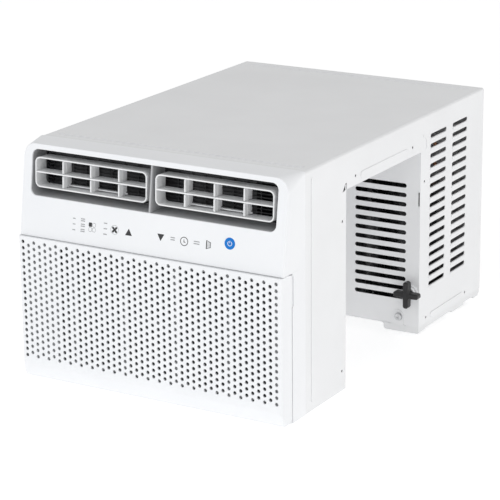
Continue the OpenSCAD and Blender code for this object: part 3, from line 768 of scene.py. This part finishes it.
def round_corners(piece, offset, segments, wanted):
    """Rounds the corners of a flat shape that pass a test of place."""
    edit(piece, "VERT")
    bpy.ops.object.mode_set(mode="OBJECT")
    for corner in piece.data.vertices:
        corner.select = wanted(corner.co)
    bpy.ops.object.mode_set(mode="EDIT")
    bpy.ops.mesh.bevel(offset=offset, segments=segments, affect="VERTICES")
    bpy.ops.object.mode_set(mode="OBJECT")


round_corners(knob, 3.9 * MM, 6, lambda p: p.length > knob_reach)
round_corners(knob, 3.0 * MM, 4, lambda p: p.length < KNOB_ARM)
edit(knob)
bpy.ops.mesh.select_all(action="SELECT")
bpy.ops.mesh.extrude_region_move(
    TRANSFORM_OT_translate={"value": (0, 0, knob_depth - KNOB_STEP)})
bpy.ops.mesh.inset(thickness=1.3 * MM, depth=0)
bpy.ops.transform.translate(value=(0, 0, KNOB_STEP))
bpy.ops.mesh.select_all(action="SELECT")
bpy.ops.mesh.normals_make_consistent(inside=False)
bpy.ops.object.mode_set(mode="OBJECT")
knob.matrix_world = (Matrix.Translation((knob_middle.x, knob_high.y, knob_middle.z))
                     @ Matrix.Rotation(math.radians(90), 4, "X"))
settle(knob)
round_edges(knob, 0.55 * MM, 2, 35)
knob_left = own_copy(knob, "turning_knob_left")
knob_left.location.x = -2 * knob_middle.x
settle(knob_left)
for piece, side in ((knob, "right"), (knob_left, "left")):
    dress(piece, FINISHES["knob_plastic"], BODY_OF["wall_knob_" + side], ["wall_knob_" + side])
print("knob", len(knob.data.polygons), "faces, from y",
      round(min(p.co.y for p in knob.data.vertices) / MM, 2), "to",
      round(max(p.co.y for p in knob.data.vertices) / MM, 2), "mm")

# %% [markdown]
# ## Screws
# A pan-head screw is a low dome with a cross pressed into it. The head is a cylinder whose rim is
# beveled in many steps until it is a dome. The cross is cut by a boolean with two tapered bars,
# which is how the punch makes it.

# %% One screw head, and a row of them


def screw_head(name, radius, height):
    """A pan head with a cross recess: its seat is at the origin and it stands along -Y."""
    bpy.ops.mesh.primitive_cylinder_add(vertices=32, radius=radius, depth=height,
                                        rotation=(math.radians(90), 0, 0),
                                        location=(0, -height / 2, 0))
    head = settle(bpy.context.object)
    head.name = name
    round_edges(head, height * 0.62, 5, 60, lambda p: p.y < -height * 0.9)
    bpy.ops.mesh.primitive_cube_add(size=1, location=(0, -height, 0))
    bar = bpy.context.object
    bar.scale = (radius * 1.15, height * 0.9, radius * 0.24)
    settle(bar)
    edit(bar)
    select_faces(bar, lambda centre, normal: normal.y > 0.9)
    bpy.ops.transform.resize(value=(0.55, 1, 0.7), center_override=(0, -height, 0))
    bpy.ops.object.mode_set(mode="OBJECT")
    crossbar = own_copy(bar, "crossbar")
    crossbar.rotation_euler = (0, math.radians(90), 0)
    settle(crossbar)
    for cutter in (bar, crossbar):
        cut = head.modifiers.new("cut", "BOOLEAN")
        cut.operation = "DIFFERENCE"
        cut.object = cutter
        pick_only(head)
        bpy.ops.object.modifier_apply(modifier=cut.name)
        bpy.data.objects.remove(cutter)
    smooth(head, 30)
    return head


def serrated_washer(radius, thickness, teeth=24):
    """A star washer: every second rim face is drawn out into a tooth."""
    bpy.ops.mesh.primitive_cylinder_add(vertices=teeth * 2, radius=radius * 0.88, depth=thickness,
                                        rotation=(math.radians(90), 0, 0),
                                        location=(0, -thickness / 2, 0))
    washer = settle(bpy.context.object)
    step = math.pi / teeth
    edit(washer)
    select_faces(washer, lambda centre, normal: abs(normal.y) < 0.1
                 and int(math.atan2(centre.z, centre.x) // step) % 2 == 0)
    bpy.ops.mesh.inset(thickness=0.05 * MM, use_individual=True)
    bpy.ops.mesh.extrude_faces_move(
        MESH_OT_extrude_faces_indiv={},
        TRANSFORM_OT_shrink_fatten={"value": radius * 0.1})
    bpy.ops.object.mode_set(mode="OBJECT")
    return washer


ground_low, ground_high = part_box("ground_screw")
WASHER = 1.0 * MM
GROUND_HEAD = (6.4 * MM, 2.6 * MM)
seat = Vector(((ground_low.x + ground_high.x) / 2, ground_low.y + GROUND_HEAD[1] + WASHER,
               (ground_low.z + ground_high.z) / 2))
ground_head = screw_head("ground_head", *GROUND_HEAD)
ground_head.location.y = -WASHER
settle(ground_head)
ground = join([ground_head, serrated_washer(7.3 * MM, WASHER)], "ground_screw_head")
ground.location = seat
dress(settle(ground), FINISHES["screw_steel"], "chassis", ["ground_screw"])

rear_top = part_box("rear_screws")[1].y
REAR_HEAD = (3.8 * MM, 2.0 * MM)
REAR_EDGE = 228
REAR_TOP = 372
REAR_PLACES = [(side * REAR_EDGE, height) for side in (-1, 1) for height in (60, 200, 340)]
REAR_PLACES += [(x, REAR_TOP) for x in (-120, 0, 120)]
TURN_BETWEEN = math.radians(37)
first = screw_head("rear_screw_heads", *REAR_HEAD)
heads = [first] + [own_copy(first, "rear_head") for _ in REAR_PLACES[1:]]
for number, (head, (x, height)) in enumerate(zip(heads, REAR_PLACES)):
    head.matrix_world = (Matrix.Translation((x * MM, rear_top - REAR_HEAD[1], height * MM))
                         @ Matrix.Rotation(math.pi, 4, "Z")
                         @ Matrix.Rotation(TURN_BETWEEN * number, 4, "Y"))
    settle(head)
dress(join(heads, "rear_screw_heads"), FINISHES["screw_steel"], "chassis", ["rear_screws"])
print("ground screw", len(ground.data.polygons), "faces,", len(REAR_PLACES), "rear screws")

# %% [markdown]
# ## Fins
# A coil is hundreds of thin aluminium fins pushed on to copper tubes. The CAD part is the block that
# the fins fill, which is right for weight and for collisions. To the eye it has to be fins, so one
# fin is made as a pleated strip: a plane is cut into strips and every second line is pushed
# sideways. Solidify gives it thickness, and an Array modifier repeats it along the coil.

# %% Pleated fins


FIN_PITCH = 1.9 * MM
FIN_SHEET = 0.14 * MM
PLEATS = 8
PLEAT_WAVE = 0.35 * MM
END_ROOM = 1 * MM


def fin_pack(node):
    """Fills the box of a coil with pleated fins."""
    low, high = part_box(node)
    width = high.y - low.y
    count = int((high.x - low.x - END_ROOM) / FIN_PITCH)
    bpy.ops.mesh.primitive_plane_add(size=1, rotation=(0, math.radians(90), 0))
    fin = bpy.context.object
    fin.name = node + "_fins"
    fin.scale = (high.z - low.z, width, 1)
    settle(fin)
    for cut in range(1, PLEATS):
        edit(fin)
        bpy.ops.mesh.select_all(action="SELECT")
        place = (cut / PLEATS - 0.5) * width
        bpy.ops.mesh.bisect(plane_co=(0, place, 0), plane_no=(0, 1, 0))
    bpy.ops.object.mode_set(mode="OBJECT")
    for point in fin.data.vertices:
        line = round((point.co.y / width + 0.5) * PLEATS)
        point.co.x = PLEAT_WAVE / 2 if line % 2 else -PLEAT_WAVE / 2
    thicken = fin.modifiers.new("thicken", "SOLIDIFY")
    thicken.thickness = FIN_SHEET
    thicken.offset = 0
    pick_only(fin)
    bpy.ops.object.modifier_apply(modifier=thicken.name)
    repeat_along_x(fin, count, FIN_PITCH)
    length = (count - 1) * FIN_PITCH
    fin.location = ((low.x + high.x - length) / 2, (low.y + high.y) / 2, (low.z + high.z) / 2)
    settle(fin)
    return dress(fin, FINISHES["fin_aluminium"], BODY_OF[node], [node])


for node in ("condenser_coil", "evaporator_coil"):
    fins = fin_pack(node)
    print(node, len(fins.data.polygons), "faces")
